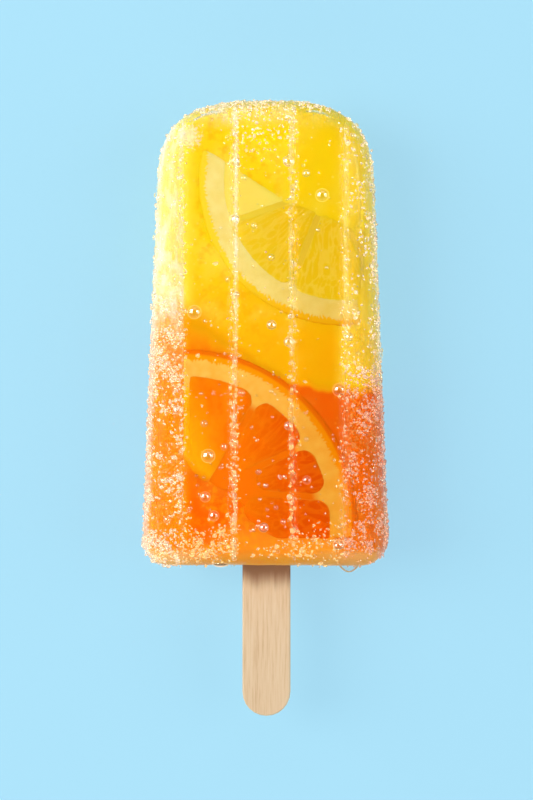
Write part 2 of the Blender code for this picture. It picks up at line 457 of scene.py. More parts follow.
# A small white patch sits at the upper left corner of the front.
corner = put(tree, "ShaderNodeMapping", {"Vector": place, "Location": (0.0157, -0.0567, -0.0206)})
corner = put(tree, "ShaderNodeVectorMath", {0: corner.outputs["Vector"]}, operation="LENGTH")
corner = times_plus(speck, -0.0012, corner.outputs["Value"])
alpha = times_plus(fade(corner, 0.0030, 0.0006), 0.50, alpha)
link(alpha, shader.inputs["Alpha"])

low_colour = mix(speck, shade(255, 160, 24), shade(255, 208, 124))
foot_colour = mix(side, shade(254, 212, 140), shade(252, 204, 120))
low_colour = mix(foot, low_colour, foot_colour)
# On the right the film is yellower and its outline colour darker: painted shade, away from the key
# lamp.
high_colour = mix(side, shade(255, 252, 230), shade(248, 228, 124))
film_colour = mix(high, low_colour, high_colour)
rim_low = mix(side, shade(250, 226, 212), shade(226, 168, 144))
rim_high = mix(side, shade(252, 244, 226), shade(230, 208, 150))
rim_colour = mix(high, rim_low, rim_high)
link(mix(rim, film_colour, rim_colour), shader.inputs["Base Color"])
bumped(shader, sugar, 0.0002, 0.7)
dress(frost_film, film)
frost_film.visible_shadow = False
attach(frost_film, "root")


# The cloudy heart: orange juice frozen first, on a slant, and lemon juice poured on it.
# The lemon layer takes an amber tint where it lies over the orange one.
LAYER_MIDDLE = 0.0440
LAYER_SWING = 0.0080
LAYER_TURN = -0.0049
LAYER_TURN_LENGTH = 0.0120


def layer_height(x):
    waver = 0.0003 * math.sin(x * 900) + 0.0002 * math.sin(x * 2100 + 1)
    return LAYER_MIDDLE - LAYER_SWING * math.tanh((x - LAYER_TURN) / LAYER_TURN_LENGTH) + waver


def layer_share(upper):
    """A block that holds one layer's side of the wavering line between the juices."""
    reach, steps = 0.03, 60
    xs = [reach * (2 * step / steps - 1) for step in range(steps + 1)]
    far = 0.11 if upper else -0.01
    outline = [(x, layer_height(x)) for x in xs] + [(reach, far), (-reach, far)]
    return flat_plate("layer_share", outline, -0.02, 0.02)


heart = plain_block
melted(heart, grain=0.0009, rounds=4, wave=0.006, depth=0.0003)
applied(heart, "DISPLACE", strength=-0.0016, mid_level=0.0)
heart.data.transform(Matrix.Diagonal((1, 1, 0.95, 1)))
lemon_heart = copied(heart, "lemon_heart")
orange_heart = copied(heart, "orange_heart")
bpy.data.objects.remove(heart)
cut_by(lemon_heart, layer_share(True), "INTERSECT")
cut_by(orange_heart, layer_share(False), "INTERSECT")
for piece in (lemon_heart, orange_heart):
    # How far below the line each point lies, as a share of the blend's length there.
    below = piece.data.attributes.new("below", "FLOAT", "POINT")
    for vertex in piece.data.vertices:
        x, y, _ = vertex.co
        blend = 0.0012 + 0.0050 * min(max((0.002 - x) / 0.018, 0), 1)
        below.data[vertex.index].value = (layer_height(x) - y) / blend
    selected_alone(piece)
    bpy.ops.object.shade_smooth_by_angle(angle=math.radians(40))
    piece.data.transform(lay)
    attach(piece, "root")


def cloudy_ice(name, stops, low, high, pale, at_line, line_start, right_painted_shade, edges):
    """Frozen juice whose colour changes along the pop and towards the other juice, with
    milky clouds, pale bubbles and a faint mottle in it. Towards the right, and beside the
    right border, it is darkened by painted shade."""
    material, tree, shader = finish(
        name, Roughness=0.6, Specular_IOR_Level=0.0, Subsurface_Weight=0.3,
        Subsurface_Scale=0.004, Subsurface_Radius=(1.0, 0.55, 0.12),
    )
    place = own_place(tree)
    x, y = x_and_y(place)
    drift = cloud_at(place, 110.0, 4.0)
    along = times_plus(drift, 0.012, times_plus(x, -0.25, y))
    share = put(tree, "ShaderNodeMapRange", {"Value": along, "From Min": low, "From Max": high})
    colour = ramp(share.outputs["Result"], *stops)
    colour = mix(times(fade(drift, 0.45, 0.75), 0.35), colour, pale)
    # Painted shade: the juice darkens towards the right, away from the key lamp on the left.
    painted_shade = mix(fade(x, -0.004, 0.020), (1, 1, 1, 1), right_painted_shade)
    colour = mix(1.0, colour, painted_shade, blend_type="MULTIPLY")
    # Beside the borders the juice takes a golden edge colour, darker on the right as painted shade.
    beside = times(fade(maths("ABSOLUTE", x), 0.0135, 0.0170), 0.75)
    colour = mix(beside, colour, mix(fade(x, -0.01, 0.01), *edges))
    cells = put(tree, "ShaderNodeTexVoronoi", {"Vector": place, "Scale": 620.0})
    bubble = times(fade(cells.outputs["Distance"], 0.26, 0.08), fade(drift, 0.38, 0.62))
    colour = mix(times(bubble, 0.55), colour, pale)
    mottle = fade(cloud_at(place, 560.0, 4.0), 0.46, 0.68)
    within = times(fade(x, -0.0155, -0.0125), fade(x, 0.008, -0.002))
    colour = mix(times(mottle, times(within, 0.42)), colour, at_line)
    below = put(tree, "ShaderNodeAttribute", attribute_name="below").outputs["Fac"]
    below = times_plus(drift, 0.5, maths("SUBTRACT", below, 0.25))
    colour = mix(fade(below, line_start, 0.0), colour, at_line)
    link(colour, shader.inputs["Base Color"])
    return material


lemon_juice = cloudy_ice(
    "frozen lemon juice",
    (
        (0.00, shade(250, 176, 12)), (0.45, shade(252, 192, 16)),
        (0.75, shade(251, 209, 16)), (1.00, shade(251, 211, 24)),
    ),
    low=0.012,
    high=0.052,
    pale=shade(254, 222, 96),
    at_line=shade(249, 164, 8),
    line_start=-1.0,
    right_painted_shade=(0.90, 0.88, 0.35, 1),
    edges=(shade(254, 226, 70), shade(240, 202, 40)),
)
orange_juice = cloudy_ice(
    "frozen orange juice",
    ((0.00, shade(252, 160, 40)), (0.22, shade(248, 104, 5)), (1.00, shade(250, 104, 8))),
    low=-0.025,
    high=0.022,
    pale=shade(252, 150, 40),
    at_line=shade(250, 165, 12),
    line_start=1.2,
    right_painted_shade=(0.84, 0.78, 0.80, 1),
    edges=(shade(249, 148, 8), shade(222, 100, 6)),
)
for piece, material, slot in (
    (lemon_heart, lemon_juice, "lemon_ice"),
    (orange_heart, orange_juice, "orange_ice"),
):
    dress(piece, material)


# The lemon slice: oily rind and white pith round wedges of pulp, cut across and broken,
# and trimmed along the mould's right wall. It lies flat, just under the front face.
RIND_DEPTH = 0.00195  # below the front face
PULP_DEPTH = 0.00185
SLICE_BACK = 0.0050
EDGE_SINK = 0.0006  # of a cut edge
SACS_A_RADIAN, SACS_A_METRE = 17, 190


def turned(degrees):
    return Vector((math.cos(math.radians(degrees)), math.sin(math.radians(degrees))))


def cut(x, y, out_x, out_y):
    """A straight cut through a place, and the way out of the slice there."""
    return Vector((x, y)), Vector((out_x, out_y))


def rim_points(centre, radius, start, end, steps=72):
    angles = [math.radians(start + (end - start) * step / steps) for step in range(steps + 1)]
    return [
        (centre[0] + radius * math.cos(angle), centre[1] + radius * math.sin(angle))
        for angle in angles
    ]


def depth_inside(spot, cuts):
    """How far a spot lies inside a slice's cut edges. Each edge is a group of cuts, and the
    cuts of one group meet at an inner corner."""
    return min(max((place - spot).dot(outward) for place, outward in edge) for edge in cuts)


def slice_body(name, outline, cuts):
    """Rind and pith in one plate, its edges a little rounded, its cut edges sunk in."""
    body = flat_plate(name, outline, -SLICE_BACK, -RIND_DEPTH)
    applied(body, "REMESH", mode="VOXEL", voxel_size=0.00035)
    applied(body, "SMOOTH", factor=0.5, iterations=3)
    for vertex in body.data.vertices:
        if vertex.co.z > -RIND_DEPTH - 0.0010:
            near_edge = min(max(1 - depth_inside(vertex.co.xy, cuts) / 0.0022, 0), 1)
            vertex.co.z -= EDGE_SINK * near_edge ** 2
    body.data.transform(lay @ FACE_FRAME)
    bpy.ops.object.shade_smooth()
    return body


def pulp_wedge(centre, core, radius, walls, cuts, corner):
    """One segment: a disc cut back to its membranes, with rounded corners and long juice
    sacs that point at the core. Each point keeps, in "sac", how far inside its juice sac it
    lies and, in "rim", how many millimetres inside the segment."""
    nothing_selected()
    bpy.ops.mesh.primitive_circle_add(
        vertices=160, radius=radius - corner, fill_type="NGON", location=(*centre, 0)
    )
    wedge = named_piece("pulp_wedge")
    bpy.ops.object.transform_apply(location=True)
    start_editing()
    for place, outward in walls:
        inner = place - outward * corner
        pick_all()
        bpy.ops.mesh.bisect(plane_co=(*inner, 0), plane_no=(*outward, 0), clear_outer=True)
    stop_editing()
    hull = [
        (vertex.co.x + corner * turned(angle).x, vertex.co.y + corner * turned(angle).y, height)
        for vertex in wedge.data.vertices
        for angle in range(0, 360, 12)
        for height in (-SLICE_BACK, -PULP_DEPTH)
    ]
    wedge.data.clear_geometry()
    wedge.data.from_pydata(hull, [], [])
    start_editing()
    pick_all()
    bpy.ops.mesh.convex_hull()
    for place, outward in cuts:
        pick_all()
        bpy.ops.mesh.bisect(
            plane_co=(*place, 0), plane_no=(*outward, 0), use_fill=True, clear_outer=True
        )
    pick_all()
    bpy.ops.mesh.normals_make_consistent(inside=False)
    stop_editing()
    applied(wedge, "REMESH", mode="VOXEL", voxel_size=0.00030)
    applied(wedge, "SMOOTH", factor=0.5, iterations=4)
    mesh = wedge.data
    sacs = mesh.attributes.new("sac", "FLOAT", "POINT")
    rims = mesh.attributes.new("rim", "FLOAT", "POINT")
    for vertex in mesh.vertices:
        arm = vertex.co.xy - Vector(core)
        angle = math.atan2(arm.y, arm.x)
        wander = noise.noise(Vector((arm.x * 260, arm.y * 260, corner * 1e4)))
        across, along = angle * SACS_A_RADIAN, arm.length * SACS_A_METRE
        cell = Vector((across + 0.7 * wander, along + 1.5 * wander, 0))
        near, far = noise.voronoi(cell)[0][:2]
        sac = min((far - near) * 2.0, 1.0)
        beyond = [(vertex.co.xy - Vector(centre)).length - radius + corner]
        beyond += [(vertex.co.xy - place).dot(outward) + corner for place, outward in walls]
        if max(beyond) < 0:
            rim = corner - max(beyond)
        else:
            rim = max(corner - math.hypot(*(max(reach, 0) for reach in beyond)), 0)
        sacs.data[vertex.index].value = sac
        rims.data[vertex.index].value = rim * 1000
        if vertex.co.z > -PULP_DEPTH - 0.0006:
            inside = depth_inside(vertex.co.xy, [(each,) for each in cuts])
            vertex.co.z += 0.00004 * (sac - 0.5) - 0.00012 * max(0, 1 - rim / 0.0014) ** 2
            vertex.co.z -= EDGE_SINK * min(max(1 - inside / 0.0020, 0), 1) ** 2
    mesh.update()
    bpy.ops.object.shade_smooth()
    mesh.transform(lay @ FACE_FRAME)
    return wedge


def joined(pieces, name):
    nothing_selected()
    for piece in pieces:
        piece.select_set(True)
    bpy.context.view_layer.objects.active = pieces[0]
    bpy.ops.object.join()
    return named_piece(name)


def membrane_planes(core, start, end, gap=0.00018, hub=0.0012):
    """The two walls of a segment between two angles, and its blunt end at the core."""
    low, high = turned(start), turned(end)
    core = Vector(core)
    low_out = Vector((low.y, -low.x))
    high_out = Vector((-high.y, high.x))
    mid = turned((start + end) / 2)
    return [
        (core - low_out * gap, low_out),
        (core - high_out * gap, high_out),
        (core + mid * hub, -mid),
    ]


lemon_centre, lemon_core = (0.0165, 0.0794), (0.0134, 0.0778)
LEMON_RIND, LEMON_PITH, LEMON_PULP = 0.0301, 0.0287, 0.0252
lemon_wall = half_width(0.065) - 0.0024
lemon_cut = [(lemon_wall, 0.0733), (0.0125, 0.0729), (0.0060, 0.0755)]
LEMON_LEFT_END = 163.5  # degrees, anticlockwise from the right
lemon_low = 360 - math.degrees(math.acos((lemon_wall - lemon_centre[0]) / LEMON_RIND))
cut_start = Vector(lemon_centre) + LEMON_RIND * turned(LEMON_LEFT_END)
cut_along = (Vector(lemon_cut[2]) - cut_start).normalized()
upper_cut = (Vector(lemon_cut[2]) - 0.0004 * Vector((0, 1)), Vector((-cut_along.y, cut_along.x)))
lower_along = (Vector(lemon_cut[1]) - Vector(lemon_cut[2])).normalized()
lower_cut = cut(*lemon_cut[1], -lower_along.y, lower_along.x)
right_wall = cut(lemon_wall - 0.0003, 0, 1, 0)
lemon_body = slice_body(
    "lemon_slice_rind",
    rim_points(lemon_centre, LEMON_RIND, LEMON_LEFT_END, lemon_low) + lemon_cut,
    ((upper_cut, lower_cut), (right_wall,)),
)
lemon_wedges = [
    pulp_wedge(
        lemon_centre, lemon_core, LEMON_PULP, membrane_planes(lemon_core, start, end), cuts,
        corner=0.0020,
    )
    for start, end, cuts in (
        (150, 199, (upper_cut, right_wall)),
        (199, 248.7, (lower_cut, right_wall)),
        (248.7, 296, (lower_cut, right_wall)),
        (296, 345, (lower_cut, right_wall)),
    )
]
lemon_pulp = joined(lemon_wedges, "lemon_pulp")

# What both fruits' skins have in common: pith inside, rind outside, and between them a
# toothed edge where the oil cells of the rind reach into the pith.
peel, given, told = shared_group(
    "peel",
    (("Place", "Vector"), ("Pith Radius", "Float"), ("Teeth", "Float")),
    ("Rind", "Fibre", "Depth", "Radius"),
)
x, y = x_and_y(given["Place"])
radius = maths("SQRT", times_plus(x, x, times(y, y)))
angle = maths("ARCTAN2", y, x)
grain = cloud_at(given["Place"], 420.0, 3.0)
teeth = maths("PINGPONG", times_plus(grain, 5.0, times(angle, given["Teeth"])), 0.5)
jag = times_plus(grain, 0.0008, times(teeth, times(grain, 0.0026)))
depth = maths("SUBTRACT", radius, given["Pith Radius"])
link(fade(maths("ADD", depth, jag), 0.00040, 0.00085), told["Rind"])
link(grain, told["Fibre"])
link(radius, told["Radius"])
link(depth, told["Depth"])


def world_place(spot):
    """Where a spot on a slice's rind lies once the pop is laid on its back."""
    return lay @ FACE_FRAME @ Vector((*spot, -RIND_DEPTH))


def veiled(place, colour, cuts, juice, depth):
    """Clouds a slice's cut edges over with juice. The cuts are grouped as in depth_inside."""
    x, y = x_and_y(place)
    nearest = -1.0
    for edge in cuts:
        beyond = 1.0
        for spot, outward in edge:
            here = world_place(spot)
            side = times_plus(x, outward[0], -here.x * outward[0] - here.y * outward[1])
            beyond = maths("MINIMUM", beyond, times_plus(y, outward[1], side))
        nearest = maths("MAXIMUM", nearest, beyond)
    nearest = times_plus(cloud_at(place, 300.0, 3.0), depth, nearest)
    return mix(fade(nearest, -depth, depth * 0.7), colour, juice)


def peel_finish(
    name, centre, pulp_radius, notch, pith_radius, teeth, flesh, pith, rind, skin, veil
):
    """Fibrous pith, toothed rind and a darker skin, round the slice's centre. Further in
    than the pulp's radius, less the notch, the pith takes the colours of the flesh. Towards
    the right everything is darkened by painted shade."""
    material, tree, shader = finish(
        name, Roughness=0.5, Specular_IOR_Level=0.0, Subsurface_Weight=0.25,
        Subsurface_Scale=0.002, Subsurface_Radius=(1.0, 0.6, 0.2),
    )
    place = own_place(tree)
    x, y = x_and_y(place)
    here = world_place(centre)
    centred = put(tree, "ShaderNodeMapping", {"Vector": place, "Location": (-here.x, -here.y, 0)})
    given = {"Place": centred.outputs["Vector"], "Pith Radius": pith_radius, "Teeth": teeth}
    told = put(tree, "ShaderNodeGroup", given, node_tree=peel).outputs
    soft_pith = ramp(told["Fibre"], (0.3, pith[0]), (0.7, pith[1]))
    outside = times_plus(told["Fibre"], 0.0008, told["Radius"])
    outside = fade(outside, pulp_radius - notch, pulp_radius - 0.4 * notch)
    soft_pith = mix(outside, mix(fade(x, -0.0118, -0.0145), *flesh), soft_pith)
    upper = fade(y, 0.018, 0.032)
    zest = mix(fade(told["Depth"], 0.0007, 0.0014), mix(upper, *rind), mix(upper, *skin))
    colour = mix(told["Rind"], soft_pith, zest)
    # Painted shade: pith, rind and flesh darken towards the right, away from the key lamp.
    painted_shade = mix(fade(x, -0.008, 0.016), (1, 1, 1, 1), (0.86, 0.74, 0.50, 1))
    colour = mix(1.0, colour, painted_shade, blend_type="MULTIPLY")
    link(veiled(place, colour, *veil), shader.inputs["Base Color"])
    return material


def pulp_finish(
    name, sac, pale_tint, pale_side, right_painted_shade_colour, seam, membrane, streak_scale, veil
):
    """Juice sacs: deeper in the middle of each sac, paler at its skin and at the rim. The
    pulp is also paler on one side of a line, given by its direction, start and end, and
    darker towards the right by painted shade."""
    material, tree, shader = finish(
        name, Roughness=0.5, Specular_IOR_Level=0.0, Subsurface_Weight=0.3,
        Subsurface_Scale=0.002, Subsurface_Radius=(1.0, 0.5, 0.15),
    )
    inside = put(tree, "ShaderNodeAttribute", attribute_name="sac").outputs["Fac"]
    rim = put(tree, "ShaderNodeAttribute", attribute_name="rim").outputs["Fac"]
    place = own_place(tree)
    x, y = x_and_y(place)
    drift = cloud_at(place, streak_scale, 4.0)
    colour = ramp(drift, (0.3, sac[0]), (0.7, sac[1]))
    # Painted shade: the pulp turns to a darker colour towards the right.
    colour = mix(fade(x, -0.012, 0.010), colour, right_painted_shade_colour)
    x_share, y_share, start, end = pale_side
    slant = times_plus(x, x_share, times(y, y_share))
    colour = mix(fade(slant, start, end), colour, pale_tint)
    colour = mix(times(fade(inside, 0.50, 0.0), 0.22), colour, seam)
    colour = mix(fade(times_plus(drift, 0.8, rim), 1.15, 0.35), colour, membrane)
    link(veiled(place, colour, *veil), shader.inputs["Base Color"])
    return material


beside_wall = cut(lemon_wall + 0.0012, 0, 1, 0)
lemon_veil = (((upper_cut, lower_cut), (beside_wall,)), shade(248, 208, 22), 0.0012)
lemon_peel = peel_finish(
    "lemon pith and rind",
    lemon_centre,
    LEMON_PULP,
    notch=0.0014,
    pith_radius=LEMON_PITH,
    teeth=30.0,
    flesh=(shade(241, 207, 62), shade(244, 212, 66)),
    pith=(shade(246, 224, 136), shade(241, 214, 114)),
    rind=(shade(249, 190, 24), shade(251, 212, 48)),
    skin=(shade(247, 172, 12), shade(250, 204, 18)),
    veil=lemon_veil,
)
lemon_flesh = pulp_finish(
    "lemon pulp",
    sac=(shade(242, 200, 32), shade(244, 208, 52)),
    pale_tint=shade(247, 218, 92),
    pale_side=(-0.3256, 0.9455, 0.0387, 0.0391),
    right_painted_shade_colour=shade(230, 186, 20),
    seam=shade(248, 220, 100),
    membrane=shade(246, 214, 78),
    streak_scale=260.0,
    veil=lemon_veil,
)
for piece, material in ((lemon_body, lemon_peel), (lemon_pulp, lemon_flesh)):
    dress(piece, material)
    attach(piece, "root")
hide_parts("lemon_slice")


# The orange slice: about a quarter of a larger round, torn around its core, its left edge
# cut upright and its lower edge trimmed at the base.
orange_centre, orange_core = (-0.0163, 0.0091), (-0.0116, 0.0154)
ORANGE_RIND, ORANGE_PITH, ORANGE_PULP = 0.0356, 0.0334, 0.0304
orange_tear = [
    (-0.0168, 0.0206), (-0.0137, 0.0204), (-0.0116, 0.0160), (-0.0073, 0.0156),
    (-0.0038, 0.0119), (0.0005, 0.0074), (0.0023, 0.0047),
]
orange_low = math.degrees(math.asin((0.0047 - orange_centre[1]) / ORANGE_RIND))
orange_top = math.degrees(math.acos((-0.0168 - orange_centre[0]) / ORANGE_RIND))
left_cut = cut(-0.0165, 0, -1, 0)
base_cut = cut(0, 0.0051, 0, -1)
torn_end = cut(-0.0165, 0.0206, -0.74, -0.672)
TEAR_OUT = (-0.62, -0.78)
orange_body = slice_body(
    "orange_slice_rind",
    rim_points(orange_centre, ORANGE_RIND, orange_low, orange_top) + orange_tear,
    (
        (cut(-0.0128, 0.0166, *TEAR_OUT),),
        (cut(-0.0006, 0.0076, *TEAR_OUT),),
        (base_cut,),
    ),
)
orange_wedges = [
    pulp_wedge(
        orange_centre, orange_core, ORANGE_PULP,
        membrane_planes(orange_core, start, end, hub=hub), cuts, corner=0.0030,
    )
    for start, end, hub, cuts in (
        (61.4, 150, 0.0006, (left_cut, torn_end)),
        (25.4, 61.4, 0.0030, (left_cut, base_cut)),
        (-2.9, 25.4, 0.0025, (left_cut, base_cut)),
        (-36, -2.9, 0.0060, (left_cut, base_cut)),
    )
]
orange_pulp = joined(orange_wedges, "orange_pulp")
orange_veil = (
    (
        (cut(-0.0120, 0.0152, *TEAR_OUT),),
        (cut(0.0005, 0.0060, *TEAR_OUT),),
        (cut(0, 0.0040, 0, -1),),
    ),
    shade(247, 100, 5),
    0.0020,
)
orange_peel = peel_finish(
    "orange pith and rind",
    orange_centre,
    ORANGE_PULP,
    notch=0.0036,
    pith_radius=ORANGE_PITH,
    teeth=34.0,
    flesh=(shade(247, 118, 8), shade(251, 168, 14)),
    pith=(shade(253, 192, 84), shade(250, 178, 64)),
    rind=(shade(252, 156, 8), shade(252, 156, 8)),
    skin=(shade(242, 116, 8), shade(242, 116, 8)),
    veil=orange_veil,
)
orange_flesh = pulp_finish(
    "orange pulp",
    sac=(shade(252, 118, 4), shade(254, 138, 8)),
    pale_tint=shade(252, 172, 12),
    pale_side=(1.0, 0.4, -0.0098, -0.0185),
    right_painted_shade_colour=shade(222, 80, 2),
    seam=shade(252, 140, 20),
    membrane=shade(251, 150, 32),
    streak_scale=300.0,
    veil=orange_veil,
)
for piece, material in ((orange_body, orange_peel), (orange_pulp, orange_flesh)):
    dress(piece, material)
    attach(piece, "root")
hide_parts("orange_slice")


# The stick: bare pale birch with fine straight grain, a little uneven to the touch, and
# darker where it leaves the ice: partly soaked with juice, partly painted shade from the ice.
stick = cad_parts["stick"]
birch, tree, shader = finish("bare birch", Roughness=0.62)
place = own_place(tree)
drawn = stretched(place, 1.0, 0.035, 1.0)
fibres = cloud_at(drawn, 2600.0, 5.0, roughness=0.65)
bands = cloud_at(drawn, 700.0, 2.0)
wood = ramp(
    fibres, (0.30, shade(198, 164, 126)), (0.46, shade(214, 185, 149)), (0.72, shade(222, 198, 166))
)
ice_edge = -middle
wander = times_plus(bands, 0.004, x_and_y(place)[1])
# Darker near the ice: juice soaking in, with painted shade from the ice above it.
soaked_and_shaded = fade(wander, ice_edge - 0.0040, ice_edge + 0.0006)
link(mix(soaked_and_shaded, wood, shade(138, 98, 66)), shader.inputs["Base Color"])
bumped(shader, fibres, 0.00012, 0.5)
dress(stick, birch)


# Rime and water. Rime has grown in patches on the borders, the ribs and the sides. Small
# beads and single drops of melt water stand on the ice, and two drops hang from the base.
RIB_AT = 0.0060  # either side of the middle

rng = np.random.default_rng(41)
skin = clear_ice.data
count = len(skin.polygons)
centres, normals, areas = np.empty(count * 3), np.empty(count * 3), np.empty(count)
skin.polygons.foreach_get("center", centres)
skin.polygons.foreach_get("normal", normals)
skin.polygons.foreach_get("area", areas)
centres, normals = centres.reshape(-1, 3), normals.reshape(-1, 3)
unlay = np.array(lay.inverted())
spots = centres @ unlay[:3, :3].T + unlay[:3, 3]
facing = normals @ unlay[:3, :3].T
across, along, width = spots[:, 0], spots[:, 1], np.abs(spots[:, 0])
up = facing[:, 2]  # 1 where a face looks straight out of the front
off_floor = centres[:, 2] > 0.0015
patches = np.array([noise.noise(Vector(spot) * 260) for spot in spots])
fine_patches = np.array([noise.noise(Vector(spot) * 800 + Vector((9, 0, 0))) for spot in spots])


def step_up(values, start, end):
    share = np.clip((values - start) / (end - start), 0, 1)
    return share * share * (3 - 2 * share)


def frost_weight():
    """How thickly rime grows at each face of the ice. Most faces get less than 1."""
    on_face = step_up(np.abs(up), 0.55, 0.9)
    border = step_up(width, 0.0160, 0.0176)
    left = across < 0
    low_left = step_up(along, 0.060, 0.050)
    low_right = step_up(along, 0.044, 0.037)
    hold = np.where(left, 0.10 + 0.78 * low_left, 0.22 + 0.52 * low_right)
    clumps = step_up(patches + 0.35 * fine_patches, 0.02, 0.22)
    weight = border * hold * (0.24 + 1.9 * clumps)
    rib = np.exp(-(((width - RIB_AT) / 0.0008) ** 2)) * on_face
    rib *= np.where(left, 1.0, 0.6)
    weight += rib * (0.8 + 0.6 * step_up(along, 0.045, 0.02) + 0.7 * step_up(along, 0.080, 0.092))
    outer_rib = np.exp(-(((width - 0.0166) / 0.0007) ** 2)) * on_face
    weight += outer_rib * 0.55
    weight += step_up(along, 0.0925, 0.0945) * 0.8
    panel = (width < RIB_AT) & (up > 0.7)
    weight += panel * 0.35 * step_up(along, 0.078, 0.090)
    flute_foot = (width > 0.0066) & (width < 0.0165) & (up > 0)
    weight += flute_foot * step_up(along, 0.0100, 0.0060) * np.where(left, 1.0, 0.45)
    weight += 0.006
    at_base = step_up(along, 0.0062, 0.0040) * step_up(up, 0.2, 0.6)
    weight += at_base * (0.12 + 0.40 * clumps)
    weight *= step_up(along - np.where(across < -0.010, 0.0, 0.0008), 0.0002, 0.0020)
    weight += 0.8 * border * left * step_up(along, 0.0065, 0.0040)
    weight += 0.24 * (facing[:, 1] < -0.6) * (width > RIB_AT)
    weight *= np.where(up < -0.3, 0.15, np.where(up < 0.5, 0.5, 1.0))
    return weight * step_up(centres[:, 2], 0.0008, 0.0025)


frost = frost_weight()


def sown(number, weight):
    """Places and normals of so many faces, picked by area and weight."""
    share = areas * weight
    picked = rng.choice(count, size=number, p=share / share.sum())
    jitter = rng.normal(0, 0.00016, (number, 3))
    return centres[picked] + jitter, normals[picked]


def gathered(name, seed_piece, places, outs, sizes, squash, sink, ruffle):
    """Many joined copies of one small shape, each turned, sized and set into the ice."""
    seed_mesh = seed_piece.data
    shape = np.array([vertex.co for vertex in seed_mesh.vertices])
    faces = [tuple(polygon.vertices) for polygon in seed_mesh.polygons]
    points, polygons = [], []
    for number, (place, out, size) in enumerate(zip(places, outs, sizes)):
        out = Vector(out)
        turn = out.to_track_quat("Z", "Y").to_matrix() @ Matrix.Rotation(
            rng.uniform(0, 2 * math.pi), 3, "Z"
        )
        grown = shape * (1 + rng.uniform(-ruffle, ruffle, shape.shape))
        grown = grown * (size * np.array((*rng.uniform(1 - ruffle, 1 + ruffle, 2), squash)))
        placed = grown @ np.array(turn).T + place - np.array(out) * size * sink
        points.append(placed)
        first = number * len(shape)
        polygons.extend(tuple(first + index for index in face) for face in faces)
    mesh = bpy.data.meshes.new(name)
    mesh.from_pydata(np.concatenate(points).tolist(), [], polygons)
    mesh.shade_smooth()
    made = bpy.data.objects.new(name, mesh)
    bpy.context.scene.collection.objects.link(made)
    bpy.data.objects.remove(seed_piece)
    return made


def ball(name, segments, rings):
    nothing_selected()
    bpy.ops.mesh.primitive_uv_sphere_add(segments=segments, ring_count=rings, radius=1)
    return named_piece(name)


def soft_shadow(tree, shader, share):
    """Lets that share of the lamps' light straight through, as small clear shapes do."""
    ray = put(tree, "ShaderNodeLightPath").outputs["Is Shadow Ray"]
    clear = put(tree, "ShaderNodeBsdfTransparent")
    through = put(tree, "ShaderNodeMixShader", {0: times(ray, share)})
    link(shader.outputs["BSDF"], through.inputs[1])
    link(clear.outputs["BSDF"], through.inputs[2])
    link(through.outputs["Shader"], tree.nodes["Material Output"].inputs["Surface"])


def water_finish(name, ior, coat_ior, clear_share, painted_glow_ring):
    """Clear water. A painted highlight: the outline of a small round drop glows in a ring,
    standing in for light that gathers there.
    """
    material, tree, shader = finish(
        name, Base_Color=(1, 1, 1, 1), Roughness=0.0, IOR=ior, Transmission_Weight=1.0,
        Coat_Weight=1.0, Coat_IOR=coat_ior, Coat_Roughness=0.02, Emission_Strength=1.0,
    )
    soft_shadow(tree, shader, clear_share)
    # The painted glowing ring: emission that grows towards the drop's outline.
    facing = put(tree, "ShaderNodeLayerWeight", {"Blend": 0.5}).outputs["Facing"]
    link(mix(fade(facing, 0.42, 0.78), (0, 0, 0, 1), painted_glow_ring), shader.inputs["Emission Color"])
    return material


GRAINS, SIDE_GRAINS = 8000, 900
rime_places, rime_outs = sown(GRAINS, frost)
rime_sizes = rng.gamma(5.0, 0.000043, GRAINS).clip(0.00010, 0.00055)
on_side = (np.abs(up) < 0.6) * (along > 0.004)
side_places, side_outs = sown(SIDE_GRAINS, on_side * off_floor)
nothing_selected()
bpy.ops.mesh.primitive_ico_sphere_add(subdivisions=1, radius=1)
rime = gathered(
    "rime",
    named_piece("grain"),
    np.concatenate((rime_places, side_places)),
    np.concatenate((rime_outs, side_outs)),
    np.concatenate((rime_sizes, rng.uniform(0.00025, 0.00055, SIDE_GRAINS))),
    squash=0.85, sink=0.1, ruffle=0.35,
)

rime_ice, tree, shader = finish("white rime", Roughness=0.10, IOR=1.31, Transmission_Weight=0.66)
x, y = x_and_y(own_place(tree))
outer = fade(maths("ABSOLUTE", x), 0.0155, 0.0172)
outer = maths("MAXIMUM", outer, fade(y, 0.0530, 0.0580))
# Painted shade: grains low on the right are given a darker, pinker colour.
painted_shade_right_low = times(fade(x, 0.012, 0.018), fade(y, 0.012, 0.002))
border_tint_and_shade = mix(painted_shade_right_low, shade(255, 240, 222), shade(244, 204, 182))
link(mix(outer, shade(255, 230, 178), border_tint_and_shade), shader.inputs["Base Color"])
soft_shadow(tree, shader, 0.75)
dress(rime, rime_ice)

# Small beads of melt water: everywhere a few, and more along the ribs and on the sides.
BEADS, SIDE_BEADS, RIB_BEADS = 2000, 420, 150
rib_line = np.abs(width - RIB_AT) < 0.0004
bead_weight = 0.12 * frost + 0.05 + 0.8 * rib_line
bead_weight += 0.5 * (np.abs(facing[:, 0]) > 0.6)
bead_weight += 0.09 * step_up(along, 0.045, 0.03) * (width < 0.0165)
bead_weight *= (along > 0.002) * (up > -0.5) * off_floor
bead_places, bead_outs = sown(BEADS, bead_weight)
on_side = (np.abs(up) < 0.5) * (along > 0.006)
side_places, side_outs = sown(SIDE_BEADS, on_side * off_floor)
rib_weight = rib_line * (up > 0.5) * (1.0 + 1.5 * (across < 0) * (along < 0.045))
rib_places, rib_outs = sown(RIB_BEADS, rib_weight)
bead_sizes = np.concatenate((
    rng.gamma(4.0, 0.00008, BEADS),
    rng.uniform(0.0003, 0.0006, SIDE_BEADS),
    rng.uniform(0.0002, 0.0006, RIB_BEADS),
))
